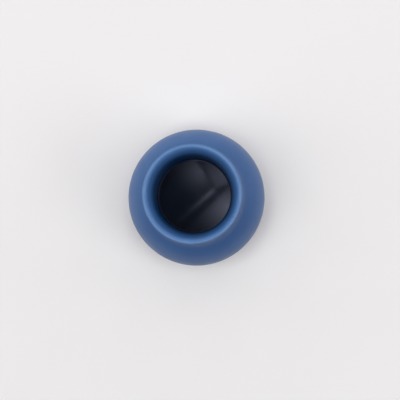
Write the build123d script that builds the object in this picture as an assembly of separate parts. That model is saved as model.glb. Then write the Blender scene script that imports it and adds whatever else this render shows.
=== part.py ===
from build123d import *
from math import pi
import os

# An open ink bottle: a squat, thick-walled, glazed ceramic body with a wide mouth,
# standing on a turned foot ring, and the ink that fills it to the root of the neck.
# Millimetres. The axis of the bottle is Z, and the origin is the centre of the circle
# that it stands on.

# Driving dimensions of the body
BOTTLE_HEIGHT = 61.0
BELLY_RADIUS = 33.0
BELLY_HALF_HEIGHT = 22.0  # upright half axis of the belly's ellipse
BELLY_LEVEL = 21.0  # height of the widest circle
WALL = 3.0
FLOOR = 4.0  # height of the inside bottom above the table
CAVITY_HALF_HEIGHT = 18.0

# Neck and mouth
LIP_RADIUS = 22.6  # the lip's outer edge
LIP_CREST_RADIUS = 22.1  # outer edge of the lip's narrow flat top
LIP_FLAT = 0.4  # width of that flat top
LIP_DROP = 0.9  # the outer rounding ends this far below the crest
NECK_WAIST_RADIUS = 21.9
NECK_ROOT_COVE = 4.0
BORE_RADIUS = 17.6
THROAT_DEPTH = 14.0  # the long inner rounding, from the lip down to the straight bore
BORE_ROOT_ROUNDING = 2.5

# Foot ring
FOOT_RADIUS = 20.0
FOOT_INNER_RADIUS = 16.0
FOOT_RECESS = 1.5
FOOT_COVE = 1.5
FOOT_EDGE = 0.7

# Ink
INK_LEVEL = 37.2
MENISCUS_RADIUS = 2.4  # the surface curves up to the wall with this radius
MENISCUS_CUT = 0.7  # the wall cuts the curve this far short of upright

BORE_TOP = BOTTLE_HEIGHT - THROAT_DEPTH
THROAT_RADIUS = LIP_CREST_RADIUS - LIP_FLAT  # where the throat leaves the lip
CAVITY_RADIUS = BELLY_RADIUS - WALL
CAVITY_LEVEL = FLOOR + CAVITY_HALF_HEIGHT
SEAM_SPREAD = 0.5  # a seam between two shapes lies this near to the radius it is named by
UPWARDS = (Align.CENTER, Align.CENTER, Align.MIN)


def turned(profile):
    """The solid that a half section, drawn as radius and height, sweeps about the axis."""
    return revolve(Plane.XZ * profile, Axis.Z)


def half_ellipse(half_width, half_height, level):
    """The half of an ellipse that lies to the right of the axis, centred at a height."""
    whole = Pos(0, level) * Ellipse(half_width, half_height)
    return whole & Pos(half_width, level) * Rectangle(2 * half_width, 2 * half_height)


def ring_edges(shape, radius, lowest, highest):
    """The circular edges about the axis with this radius, between two heights."""
    rings = shape.edges().filter_by_position(Axis.Z, lowest, highest)
    return rings.filter_by(lambda edge: abs(edge.length / (2 * pi) - radius) < SEAM_SPREAD)


def neck():
    """The neck's outside, drawn in slightly below the lip, with the lip's outer rounding."""
    root = Vector(LIP_RADIUS, BELLY_LEVEL + BELLY_HALF_HEIGHT / 2)
    edge = Vector(LIP_RADIUS, BOTTLE_HEIGHT - LIP_DROP)
    waist = Vector(NECK_WAIST_RADIUS, (root.Y + edge.Y) / 2)
    crest = Vector(LIP_CREST_RADIUS, BOTTLE_HEIGHT)
    side = ThreePointArc(root, waist, edge)
    rounding = EllipticalCenterArc(
        (LIP_CREST_RADIUS, edge.Y), LIP_RADIUS - LIP_CREST_RADIUS, LIP_DROP, arc_size=90
    )
    core = Polyline(crest, (0, crest.Y), (0, root.Y), root)
    return turned(make_face([side, rounding, core]))


def outside():
    """Belly, neck and foot ring as one full shape, with coves where they meet."""
    belly = turned(half_ellipse(BELLY_RADIUS, BELLY_HALF_HEIGHT, BELLY_LEVEL))
    foot = Cylinder(FOOT_RADIUS, BELLY_LEVEL, align=UPWARDS)
    # The belly's ellipse dips below the foot, so the recess starts below it too.
    recess = Cylinder(FOOT_INNER_RADIUS, 2 * FOOT_RECESS)
    body = belly + neck() + foot - recess
    neck_root = ring_edges(body, LIP_RADIUS, BELLY_LEVEL, BORE_TOP)
    body = fillet(neck_root, NECK_ROOT_COVE)
    foot_root = ring_edges(body, FOOT_RADIUS, FOOT_RECESS, BELLY_LEVEL)
    body = fillet(foot_root, FOOT_COVE)
    standing = ring_edges(body, FOOT_RADIUS, -FOOT_RECESS, FOOT_EDGE)
    standing += ring_edges(body, FOOT_INNER_RADIUS, -FOOT_RECESS, FOOT_EDGE)
    return fillet(standing, FOOT_EDGE)


def cavity():
    """All the space inside the walls: the hollow of the belly, the bore and the mouth."""
    hollow = turned(half_ellipse(CAVITY_RADIUS, CAVITY_HALF_HEIGHT, CAVITY_LEVEL))
    throat = EllipticalCenterArc(
        (THROAT_RADIUS, BORE_TOP),
        THROAT_RADIUS - BORE_RADIUS,
        THROAT_DEPTH,
        start_angle=90,
        arc_size=90,
    )
    bore = Polyline(
        (BORE_RADIUS, BORE_TOP),
        (BORE_RADIUS, CAVITY_LEVEL),
        (0, CAVITY_LEVEL),
        (0, BOTTLE_HEIGHT),
        (THROAT_RADIUS, BOTTLE_HEIGHT),
    )
    space = hollow + turned(make_face([throat, bore]))
    bore_root = ring_edges(space, BORE_RADIUS, CAVITY_LEVEL, BORE_TOP - BORE_ROOT_ROUNDING)
    return fillet(bore_root, BORE_ROOT_ROUNDING)


def headspace():
    """The air above the ink, with the rounded lower edge that leaves a meniscus."""
    air = Pos(0, 0, INK_LEVEL) * Cylinder(BORE_RADIUS + MENISCUS_CUT, BOTTLE_HEIGHT, align=UPWARDS)
    return fillet(air.edges().group_by(Axis.Z)[0], MENISCUS_RADIUS)


def ink(inner):
    """The fill: everything inside the walls up to the meniscus."""
    below_the_throat = Cylinder(BELLY_RADIUS, BORE_TOP, align=UPWARDS)
    return (inner & below_the_throat) - headspace()


inner = cavity()
nodes = {"bottle_body": outside() - inner, "ink": ink(inner)}

os.makedirs("parts", exist_ok=True)
for name, solid in nodes.items():
    export_step(solid, f"parts/{name}.step")
    print(name, f"{solid.volume / 1000:.1f} ml")
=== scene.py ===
"""An open ink bottle in blue glazed ceramic, seen from above on a pale studio table.

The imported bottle_body and ink are replaced by turned meshes that carry the details of the
glaze, the bare foot and the ink's surface. Lengths are metres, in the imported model's frame,
and an outline is a list of points, each a radius from the axis and a level above the table.
"""
from math import acos, cos, degrees, exp, pi, radians, sin, tan

import bpy
from mathutils import Matrix, Vector


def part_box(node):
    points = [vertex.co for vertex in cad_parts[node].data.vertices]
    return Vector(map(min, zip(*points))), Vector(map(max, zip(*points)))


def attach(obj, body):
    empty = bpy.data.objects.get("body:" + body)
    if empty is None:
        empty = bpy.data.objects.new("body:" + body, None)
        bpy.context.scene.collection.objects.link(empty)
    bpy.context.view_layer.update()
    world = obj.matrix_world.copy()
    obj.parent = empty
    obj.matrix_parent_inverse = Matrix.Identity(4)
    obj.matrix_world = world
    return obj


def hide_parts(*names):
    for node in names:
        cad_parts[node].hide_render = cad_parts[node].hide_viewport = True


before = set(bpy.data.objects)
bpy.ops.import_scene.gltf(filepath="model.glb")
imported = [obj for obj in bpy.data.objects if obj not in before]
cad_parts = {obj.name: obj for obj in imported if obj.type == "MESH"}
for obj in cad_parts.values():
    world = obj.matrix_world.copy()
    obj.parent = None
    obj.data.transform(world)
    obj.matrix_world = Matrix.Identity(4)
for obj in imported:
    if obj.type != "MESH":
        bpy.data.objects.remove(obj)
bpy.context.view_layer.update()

MM = 0.001
CM = 0.01
BODY = "root"
SEGMENTS = 288
body_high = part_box("bottle_body")[1]
ink_low, ink_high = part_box("ink")

# The body's section
HEIGHT = body_high[2]
BELLY_RADIUS = body_high[0]
BELLY_LEVEL = 21 * MM
BELLY_HALF_HEIGHT = 22 * MM
LIP_RADIUS = 22.6 * MM
CREST_RADIUS = 22.1 * MM  # outer edge of the lip's flat top
LIP_FLAT = 0.4 * MM
LIP_DROP = 0.9 * MM
WAIST_RADIUS = 21.9 * MM
SHOULDER_RADIUS = 25.2 * MM  # where the bend up into the neck starts
NECK_ROOT = 42 * MM  # where it ends
THROAT_DEPTH = 14 * MM
BORE_RADIUS = 17.6 * MM
CAVITY_RADIUS = ink_high[0]
CAVITY_FLOOR = ink_low[2]
CAVITY_HALF_HEIGHT = 18 * MM
FOOT_RADIUS = 20 * MM
FOOT_INNER_RADIUS = 16 * MM
FOOT_RECESS = 1.5 * MM
FOOT_EDGE = 0.7 * MM
GLAZE_LINE = 1.2 * MM  # how far up the foot ring the clay is bare
GLAZE_THICKNESS = 0.25 * MM
THROAT_SHADE_FULL_LEVEL = 52 * MM  # below here the throat carries its full painted shade, which fades out up to the level on the next line
THROAT_SHADE_END_LEVEL = 59.5 * MM
WAVER = 0.02 * MM
RIDGE_PITCH = 4.2 * MM
PAINTED_LIGHT_SIDE = (-0.45, 0.89, 0)  # the side painted paler, as painted light; the opposite side is painted darker, as painted shade

# The ink
INK_LEVEL = 37.2 * MM
MENISCUS_RISE = 0.15 * MM
MENISCUS_REACH = 0.13 * MM

# The studio
LIGHT_DISTANCE = 1.0
LIGHT_AIM = 30 * MM  # the level on the axis that the lights point at
PANEL_HEIGHT = 0.9
PANEL_COLOUR = (0.86, 0.93, 1.21, 1)


# ---------------------------------------------------------------- outlines of the section

def arc(radius, level, half_width, half_height, start, end, steps):
    """Points on an ellipse centred at a radius and a level, between two angles in degrees."""
    angles = [radians(start + (end - start) * i / steps) for i in range(steps + 1)]
    return [(radius + half_width * cos(a), level + half_height * sin(a)) for a in angles]


def straight(start, end, steps):
    shares = [i / steps for i in range(steps + 1)]
    return [tuple(s + (e - s) * t for s, e in zip(start, end)) for t in shares]


def cove(start, corner, end, steps):
    """A soft bend that leaves both ends along the lines to the corner."""
    points = []
    for i in range(steps + 1):
        t = i / steps
        weights = (1 - t) ** 2, 2 * t * (1 - t), t * t
        ends = start, corner, end
        points.append(tuple(sum(w * p[k] for w, p in zip(weights, ends)) for k in (0, 1)))
    return points


class Oval:
    """An ellipse on the axis, as half of its section."""

    def __init__(self, half_width, half_height, level):
        self.half_width, self.half_height, self.level = half_width, half_height, level

    def angle(self, radius):
        return degrees(acos(radius / self.half_width))

    def rise(self, radius):
        return self.half_height * sin(radians(self.angle(radius)))

    def point(self, radius, side=1):
        """The outline's point at a radius, on its upper side or, with side -1, its lower one."""
        return radius, self.level + side * self.rise(radius)

    def slope(self, radius, side=1):
        """How fast the outline's level grows with its radius."""
        return -side * radius * self.half_height**2 / (self.half_width**2 * self.rise(radius))

    def line_at(self, radius, other_radius, side=1):
        """Where the tangent at one radius reaches another radius."""
        level = self.point(radius, side)[1]
        return other_radius, level + (other_radius - radius) * self.slope(radius, side)

    def run(self, start, end, steps):
        """The outline between two angles in degrees."""
        return arc(0, self.level, self.half_width, self.half_height, start, end, steps)


belly = Oval(BELLY_RADIUS, BELLY_HALF_HEIGHT, BELLY_LEVEL)
hollow = Oval(CAVITY_RADIUS, CAVITY_HALF_HEIGHT, CAVITY_FLOOR + CAVITY_HALF_HEIGHT)


def joined(*runs):
    """One outline from several runs, without the points that two runs share."""
    points = []
    for run in runs:
        for point in run:
            if not points or max(abs(a - b) for a, b in zip(point, points[-1])) > 1e-7:
                points.append(point)
    return points


def neck_radius(level):
    """The neck is drawn in at its waist and opens a little towards the lip."""
    edge = HEIGHT - LIP_DROP
    waist = (edge + BELLY_LEVEL + BELLY_HALF_HEIGHT / 2) / 2
    return WAIST_RADIUS + (LIP_RADIUS - WAIST_RADIUS) * ((level - waist) / (edge - waist)) ** 2


def neck_corner():
    """Where the neck's line at its root and the belly's tangent at the shoulder cross."""
    lean = (neck_radius(NECK_ROOT + MM) - neck_radius(NECK_ROOT - MM)) / (2 * MM)
    slope = belly.slope(SHOULDER_RADIUS)
    shoulder = belly.point(SHOULDER_RADIUS)
    reach = shoulder[1] - slope * shoulder[0] - NECK_ROOT
    radius = (neck_radius(NECK_ROOT) + lean * reach) / (1 - lean * slope)
    return belly.line_at(SHOULDER_RADIUS, radius)


def neck_outline():
    """From the shoulder up the neck and over the lip to its crest."""
    edge = HEIGHT - LIP_DROP
    levels = [NECK_ROOT + (edge - NECK_ROOT) * i / 40 for i in range(41)]
    root = (neck_radius(NECK_ROOT), NECK_ROOT)
    return joined(
        cove(belly.point(SHOULDER_RADIUS), neck_corner(), root, 20),
        [(neck_radius(level), level) for level in levels],
        arc(CREST_RADIUS, edge, LIP_RADIUS - CREST_RADIUS, LIP_DROP, 0, 90, 10),
    )


def inside_outline():
    """From the lip's crest down the throat and the bore to the bottom of the hollow."""
    bore_top = HEIGHT - THROAT_DEPTH
    throat_start = CREST_RADIUS - LIP_FLAT
    meets_hollow = 19 * MM
    bend_height = 1.3 * MM
    corner = hollow.line_at(meets_hollow, BORE_RADIUS)
    bore_foot = (BORE_RADIUS, corner[1] + bend_height)
    return joined(
        arc(throat_start, bore_top, throat_start - BORE_RADIUS, THROAT_DEPTH, 90, 180, 48),
        straight((BORE_RADIUS, bore_top), bore_foot, 16),
        cove(bore_foot, corner, hollow.point(meets_hollow), 10),
        hollow.run(hollow.angle(meets_hollow), -90, 60),
    )


def glaze_outline():
    """The glazed surface: from the glaze line on the foot, over the lip, to the inside floor."""
    cove_start = 2.6 * MM
    meets_belly = 20.8 * MM
    bead = GLAZE_THICKNESS
    bead_level = GLAZE_LINE + bead
    corner = belly.line_at(meets_belly, FOOT_RADIUS, side=-1)
    return joined(
        [(FOOT_RADIUS - 3 * bead, bead_level)],  # the hem, tucked into the clay
        arc(FOOT_RADIUS - bead, bead_level, bead, bead, -90, 0, 6),
        cove((FOOT_RADIUS, cove_start), corner, belly.point(meets_belly, side=-1), 12),
        belly.run(-belly.angle(meets_belly), belly.angle(SHOULDER_RADIUS), 110),
        neck_outline(),
        inside_outline(),
    )


def foot_outline():
    """The bare clay: the recess under the bottle and the ring that it stands on."""
    inner, outer = FOOT_INNER_RADIUS, FOOT_RADIUS - GLAZE_THICKNESS
    edge = FOOT_EDGE
    top = GLAZE_LINE + 2 * GLAZE_THICKNESS  # hidden behind the glaze
    bend = 0.5 * MM
    bend_start = (inner - bend, FOOT_RECESS)
    return joined(
        straight((0, FOOT_RECESS), bend_start, 40),
        cove(bend_start, (inner, FOOT_RECESS), (inner, FOOT_RECESS - bend), 5),
        arc(inner + edge, edge, edge, edge, 180, 270, 7),
        straight((inner + edge, 0), (outer - edge, 0), 14),
        arc(outer - edge, edge, edge, edge, 270, 360, 8),
        straight((outer, edge), (outer, top), 4),
        straight((outer, top), (0, top + FOOT_RECESS), 4),
    )


def ink_outline():
    """The fill: its flat surface, the meniscus and the wetted wall."""
    clearance = 0.03 * MM
    wall = BORE_RADIUS - clearance
    radii = [wall * (1 - (1 - i / 60) ** 2) for i in range(61)]
    surface = [(r, INK_LEVEL + MENISCUS_RISE * exp((r - wall) / MENISCUS_REACH)) for r in radii]
    bulk = Oval(CAVITY_RADIUS - clearance, CAVITY_HALF_HEIGHT - clearance, hollow.level)
    return joined(surface, bulk.run(bulk.angle(wall), -90, 60))


# ---------------------------------------------------------------- meshes

def wobble(angle, level):
    """How a hand-turned wall strays: two slow lobes and a faint spiral ridge."""
    stray = sin(2 * angle + 40 * level) + 0.5 * sin(3 * angle + 1 - 90 * level)
    ridge = 0.35 * sin(2 * pi * level / RIDGE_PITCH + angle)
    return stray + ridge


def turned(name, outline, waver=0.0):
    """A mesh swept about the axis from an outline. waver is the size of the wall's wobble."""
    vertices, faces, rings = [], [], []
    for radius, level in outline:
        if radius < 1e-6:
            rings.append([len(vertices)])
            vertices.append((0, 0, level))
            continue
        rings.append(range(len(vertices), len(vertices) + SEGMENTS))
        for i in range(SEGMENTS):
            angle = 2 * pi * i / SEGMENTS
            here = radius + waver * wobble(angle, level) * min(1, radius / BORE_RADIUS)
            vertices.append((here * cos(angle), here * sin(angle), level))
    for lower, upper in zip(rings, rings[1:]):
        for i in range(SEGMENTS):
            j = (i + 1) % SEGMENTS
            if len(lower) == 1:
                faces.append((lower[0], upper[i], upper[j]))
            elif len(upper) == 1:
                faces.append((lower[j], lower[i], upper[0]))
            else:
                faces.append((lower[j], lower[i], upper[i], upper[j]))
    mesh = bpy.data.meshes.new(name)
    mesh.from_pydata(vertices, [], faces)
    mesh.polygons.foreach_set("use_smooth", [True] * len(faces))
    mesh.update()
    piece = bpy.data.objects.new(name, mesh)
    bpy.context.scene.collection.objects.link(piece)
    return piece


# ---------------------------------------------------------------- materials

class Nodes:
    """A short way to wire a Principled material. An underscore in a name stands for a space."""

    def __init__(self, name, **sockets):
        self.material = bpy.data.materials.new(name)
        self.material.use_nodes = True
        self.tree = self.material.node_tree
        self.shader = self.tree.nodes["Principled BSDF"]
        for socket, value in sockets.items():
            self.shader.inputs[socket.replace("_", " ")].default_value = value
        self.place = self.tree.nodes.new("ShaderNodeTexCoord").outputs["Object"]

    def node(self, kind, *links, **settings):
        node = self.tree.nodes.new("ShaderNode" + kind)
        for setting, value in settings.items():
            setattr(node, setting, value)
        for socket, value in links:
            if isinstance(value, bpy.types.NodeSocket):
                self.tree.links.new(value, node.inputs[socket])
            else:
                node.inputs[socket].default_value = value
        return node

    def noise(self, size, detail=2.0, roughness=0.5):
        """Noise whose features are about this size."""
        links = (("Vector", self.place), ("Scale", 1 / size), ("Detail", detail),
                 ("Roughness", roughness))
        return self.node("TexNoise", *links).outputs["Fac"]

    def spread(self, value, low, high, to_low, to_high, smooth=False):
        """The value's range from low to high, taken to another range."""
        links = (("Value", value), ("From Min", low), ("From Max", high),
                 ("To Min", to_low), ("To Max", to_high))
        kind = "SMOOTHSTEP" if smooth else "LINEAR"
        return self.node("MapRange", *links, interpolation_type=kind).outputs["Result"]

    def maths(self, operation, a, b=0.0):
        return self.node("Math", (0, a), (1, b), operation=operation).outputs[0]

    def mix(self, share, a, b):
        colours = [(*c, 1) if isinstance(c, tuple) else c for c in (a, b)]
        node = self.node("Mix", data_type="RGBA")
        for socket, value in zip((0, 6, 7), (share, *colours)):
            if isinstance(value, bpy.types.NodeSocket):
                self.tree.links.new(value, node.inputs[socket])
            else:
                node.inputs[socket].default_value = value
        return node.outputs[2]

    def level_and_radius(self):
        split = self.node("SeparateXYZ", ("Vector", self.place))
        flat = self.node("CombineXYZ", ("X", split.outputs[0]), ("Y", split.outputs[1]))
        radius = self.node("VectorMath", (0, flat.outputs[0]), operation="LENGTH")
        return split.outputs[2], radius.outputs["Value"]

    def bump(self, height, strength, distance, under=None):
        """The normal of a bumpy surface, on top of the bumps under it."""
        links = [("Strength", strength), ("Distance", distance), ("Height", height)]
        if under is not None:
            links.append(("Normal", under))
        return self.node("Bump", *links).outputs["Normal"]

    def connect(self, **sockets):
        for socket, value in sockets.items():
            self.tree.links.new(value, self.shader.inputs[socket.replace("_", " ")])
        return self.material


def glaze_tone(n):
    """Cloudy, grainy blue with sparse flecks, painted paler on one side as painted light and
    darker on the opposite side as painted shade.
    """
    cloud = n.spread(n.noise(14 * MM, detail=3.0), 0.3, 0.7, 0, 1)
    grain = n.spread(n.noise(1.6 * MM, detail=4.0, roughness=0.6), 0.35, 0.75, 0, 0.35)
    tone = n.mix(cloud, (0.041, 0.121, 0.315), (0.047, 0.134, 0.340))
    tone = n.mix(grain, tone, (0.052, 0.146, 0.355))
    # Painted light and shade: the tone is painted paler towards one side of the body and darker
    # towards the opposite side, standing in for how the lights fall across it.
    leaning = n.node("VectorMath", (0, n.place), (1, Vector(PAINTED_LIGHT_SIDE)), operation="DOT_PRODUCT")
    painted_light_share = n.spread(leaning.outputs["Value"], -BELLY_RADIUS, BELLY_RADIUS, 0, 1)
    painted_shade_tone = n.mix(0.27, tone, (0.0, 0.01, 0.08))
    pale = n.mix(0.03, tone, (0.3, 0.42, 0.75))
    return n.mix(painted_light_share, painted_shade_tone, pale)


def blue_glaze():
    """Satin glaze, pale where it runs thin over the lip, darkened down the throat with painted
    shade, inked at the tide line.
    """
    n = Nodes("blue_glaze", IOR=1.5)
    level, radius = n.level_and_radius()
    tone = glaze_tone(n)

    above_shoulder = n.spread(level, NECK_ROOT - 7 * MM, NECK_ROOT - 4 * MM, 0, 1, smooth=True)
    below_neck = n.spread(level, NECK_ROOT - 3 * MM, NECK_ROOT + 1 * MM, 1, 0, smooth=True)
    pool = n.maths("MULTIPLY", below_neck, above_shoulder)
    tone = n.mix(n.maths("MULTIPLY", pool, 0.15), tone, (0.010, 0.050, 0.180))

    cells = n.node("TexVoronoi", ("Vector", n.place), ("Scale", 1 / (2.6 * MM)))
    fleck = n.spread(cells.outputs["Distance"], 0.05, 0.10, 0.45, 0)
    tone = n.mix(fleck, tone, (0.018, 0.060, 0.180))

    over_lip = n.spread(level, HEIGHT - 2.2 * MM, HEIGHT, 0, 1, smooth=True)
    thin = n.maths("MULTIPLY", over_lip, n.spread(n.noise(5 * MM), 0.3, 0.7, 0.55, 0.9))
    tone = n.mix(thin, tone, (0.065, 0.177, 0.407))

    # Painted shade: the throat is painted dark towards its depth, where shade falls; the same mask
    # also lowers the shine there.
    down_throat = n.spread(level, THROAT_SHADE_FULL_LEVEL, THROAT_SHADE_END_LEVEL, 1, 0, smooth=True)
    in_throat = n.spread(radius, LIP_RADIUS - 2 * MM, LIP_RADIUS - 1.2 * MM, 1, 0)
    painted_throat_shade = n.maths("MULTIPLY", down_throat, in_throat)
    tone = n.mix(painted_throat_shade, tone, (0.004, 0.040, 0.125))

    ragged = n.spread(n.noise(2.5 * MM, detail=3.0), 0.3, 0.7, -0.5 * MM, 0.5 * MM)
    tide = n.spread(n.maths("ADD", level, ragged), INK_LEVEL + 0.8 * MM,
                    INK_LEVEL + 2.8 * MM, 0.8, 0, smooth=True)
    inside = n.spread(radius, BORE_RADIUS + 0.6 * MM, BORE_RADIUS + 1.4 * MM, 1, 0)
    stain = n.maths("MULTIPLY", tide, inside)
    tone = n.mix(stain, tone, (0.006, 0.012, 0.045))

    gloss = n.spread(n.noise(6 * MM, detail=4.0), 0.25, 0.75, 0.36, 0.46)
    shine = n.spread(painted_throat_shade, 0, 0.35, 0.5, 0.04)
    ripple = n.bump(n.noise(2.2 * MM, detail=1.0), 0.25, 0.05 * MM)
    peel = n.bump(n.noise(0.5 * MM, detail=2.0), 0.12, 0.02 * MM, ripple)
    return n.connect(Base_Color=tone, Roughness=gloss, Specular_IOR_Level=shine, Normal=peel)


def bare_clay():
    """Fired stoneware, buff, with dark iron specks and a dry, sandy surface."""
    n = Nodes("bare_clay", IOR=1.5)
    cloud = n.noise(7 * MM, detail=3.0)
    sand = n.noise(0.35 * MM, detail=3.0, roughness=0.65)
    tone = n.mix(n.spread(cloud, 0.3, 0.7, 0, 1), (0.46, 0.39, 0.30), (0.55, 0.48, 0.38))
    tone = n.mix(n.spread(sand, 0.4, 0.7, 0, 0.35), tone, (0.33, 0.27, 0.20))
    cells = n.node("TexVoronoi", ("Vector", n.place), ("Scale", 1 / (1.7 * MM)))
    speck = n.spread(cells.outputs["Distance"], 0.08, 0.13, 0.85, 0)
    tone = n.mix(speck, tone, (0.06, 0.035, 0.02))
    dry = n.spread(sand, 0.3, 0.7, 0.78, 0.92)
    rough = n.bump(sand, 0.5, 0.08 * MM)
    return n.connect(Base_Color=tone, Roughness=dry, Normal=rough)


def still_ink():
    """Blue-black ink, nearly opaque, less mirroring where it meets the wall, and painted a little
    bluer there as a painted reflection of the blue glaze.
    """
    n = Nodes("still_ink", IOR=1.36)
    level, radius = n.level_and_radius()
    drift = n.spread(n.noise(9 * MM, detail=2.0), 0.3, 0.7, 0, 1)
    tone = n.mix(drift, (0.0022, 0.0042, 0.0095), (0.0034, 0.0060, 0.0125))
    # Painted reflection: within 1.6 mm of the wall the ink is painted bluer, standing in for the
    # blue glaze mirrored at its rim.
    edge = n.spread(radius, BORE_RADIUS - 1.6 * MM, BORE_RADIUS, 0, 0.8, smooth=True)
    tone = n.mix(edge, tone, (0.010, 0.016, 0.045))
    gloss = n.spread(n.noise(4 * MM), 0.3, 0.7, 0.035, 0.050)
    skin = n.spread(radius, BORE_RADIUS - 0.6 * MM, BORE_RADIUS - 0.3 * MM, 0.5, 0.01)
    swell = n.bump(n.noise(12 * MM, detail=0.0), 0.04, 0.05 * MM)
    return n.connect(Base_Color=tone, Roughness=gloss, Specular_IOR_Level=skin, Normal=swell)


def studio_table():
    """A pale matt table top with the faintest cloudiness."""
    n = Nodes("studio_table", IOR=1.45)
    cloud = n.spread(n.noise(0.25, detail=2.0), 0.3, 0.7, 0, 1)
    tone = n.mix(cloud, (0.815, 0.797, 0.800), (0.835, 0.817, 0.820))
    dust = n.spread(n.noise(3 * MM, detail=3.0), 0.3, 0.7, 0.85, 0.95)
    return n.connect(Base_Color=tone, Roughness=dust)


# ---------------------------------------------------------------- the object

def add_piece(name, outline, node, material, waver=0.0):
    piece = turned(name, outline, waver)
    piece.data.materials.append(material)
    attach(piece, BODY)
    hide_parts(node)


add_piece("glazed_bottle", glaze_outline(), "bottle_body", blue_glaze(), WAVER)
add_piece("bare_foot_ring", foot_outline(), "bottle_body", bare_clay())
add_piece("ink_fill", ink_outline(), "ink", still_ink())


# ---------------------------------------------------------------- the studio

def table_and_backdrop():
    """A round table top whose edge sweeps up into a pale backdrop all round."""
    flat, bend, rise = 2.2, 0.8, 0.9
    outline = joined(
        straight((0, 0), (flat, 0), 12),
        arc(flat, bend, bend, bend, -90, 0, 16),
        straight((flat + bend, bend), (flat + bend, bend + rise), 4),
    )
    table = turned("studio_table", outline)
    table.data.flip_normals()
    table.data.materials.append(studio_table())


def softbox(name, bearing, climb, size, radiance):
    """A square soft light, at a bearing from +X and a climb above the table in degrees."""
    bearing, climb = radians(bearing), radians(climb)
    way = Vector((cos(climb) * cos(bearing), cos(climb) * sin(bearing), sin(climb)))
    lamp = bpy.data.lights.new(name, "AREA")
    lamp.size = size
    lamp.energy = radiance * pi * size**2
    light = bpy.data.objects.new(name, lamp)
    bpy.context.scene.collection.objects.link(light)
    light.location = Vector((0, 0, LIGHT_AIM)) + way * LIGHT_DISTANCE
    light.rotation_euler = (-way).to_track_quat("-Z", "Y").to_euler()


def camera():
    """The camera looks almost straight down, with +Y up in its picture and +X to the right."""
    lean_right, lean_up = radians(2.92), radians(-2.30)
    distance = 0.5388
    target = Vector((0, 0, BELLY_LEVEL))
    back = Vector((tan(lean_right), tan(lean_up), 1)).normalized()
    up = (Vector((0, 1, 0)) - back * back.y).normalized()
    right = up.cross(back)
    data = bpy.data.cameras.new("camera")
    data.lens, data.sensor_width = 100, 36
    data.shift_x, data.shift_y = 0.00885, -0.0062
    eye = bpy.data.objects.new("camera", data)
    bpy.context.scene.collection.objects.link(eye)
    turn = Matrix((right, up, back)).transposed().to_4x4()
    eye.matrix_world = Matrix.Translation(target + back * distance) @ turn
    bpy.context.scene.camera = eye


def panel(name, glow, outer_glow, ease, hot_spot, reach, corners, height=PANEL_HEIGHT):
    """A small glowing panel hung over the bottle, which only mirrors show.

    The hot spot, the reach and the corners are in centimetres, seen from above with the axis
    at 0, 0. The glow falls off from the hot spot to the outer glow at the reach, and a larger
    ease makes it fall faster at first.
    """
    def hung(spot):
        return Vector((spot[0] * CM, spot[1] * CM, height))

    mesh = bpy.data.meshes.new(name)
    mesh.from_pydata([hung(corner) for corner in corners], [], [range(len(corners))])
    board = bpy.data.objects.new(name, mesh)
    bpy.context.scene.collection.objects.link(board)
    n = Nodes(name, Base_Color=(0, 0, 0, 1), Specular_IOR_Level=0.0,
              Emission_Color=PANEL_COLOUR)
    away = n.node("VectorMath", (0, n.place), (1, hung(hot_spot)), operation="DISTANCE")
    left = n.spread(away.outputs["Value"], 0, reach * CM, 1, 0)
    strength = n.spread(n.maths("POWER", left, ease), 0, 1, outer_glow, glow)
    mesh.materials.append(n.connect(Emission_Strength=strength))
    n.material.cycles.emission_sampling = "NONE"
    board.visible_camera = board.visible_diffuse = board.visible_shadow = False


def studio():
    table_and_backdrop()
    camera()
    # Three large ones close round the camera
    softbox("key", bearing=205, climb=72, size=0.50, radiance=4.8)
    softbox("fill", bearing=345, climb=72, size=0.45, radiance=3.2)
    softbox("far", bearing=90, climb=72, size=0.45, radiance=1.9)
    # Two halfway down, whose shadows fall up and outwards in the camera's picture
    softbox("side_right", bearing=340, climb=42, size=0.45, radiance=3.0)
    softbox("side_left", bearing=210, climb=42, size=0.45, radiance=1.2)
    # A low bank along the far side
    for bearing in range(15, 181, 33):
        softbox(f"bank_{bearing}", bearing, climb=27, size=0.40, radiance=2.0)
    # A dim panel that fades out to the left, and a paler one beyond it
    panel("left", glow=2.7, outer_glow=0.07, ease=3.6, hot_spot=(-3.6, 6.7), reach=6.0,
          corners=((-7.0, 12.0), (-2.2, 4.7), (-9.4, -2.1), (-15.2, 5.7)))
    panel("beyond", glow=2.2, outer_glow=0.5, ease=1, hot_spot=(-1.0, 6.0), reach=3.0,
          corners=((-4.9, 10.3), (-1.9, 4.5), (1.8, 5.9), (0.8, 11.5)))
    # The brightest, to the right of a dark gap
    panel("right", glow=4.1, outer_glow=0.2, ease=2.2, hot_spot=(-0.3, 2.2), reach=5.6,
          corners=((1.3, 6.2), (-6.4, -1.3), (3.4, -5.7), (7.4, 2.2)))
    # A narrow strip along the gap, and a dark ceiling over them all
    panel("strip", glow=3.0, outer_glow=0.4, ease=1, hot_spot=(-2.7, 3.8), reach=3.7,
          corners=((-1.9, 4.15), (-2.1, 4.6), (-6.7, 0.45), (-6.55, 0.25)),
          height=PANEL_HEIGHT - CM)
    panel("ceiling", glow=0.3, outer_glow=0.1, ease=1, hot_spot=(-2.6, 4.6), reach=4.0,
          corners=((-20, 20), (-20, -20), (20, -20), (20, 20)), height=PANEL_HEIGHT + CM)


studio()
bpy.context.scene.view_settings.view_transform = "Standard"
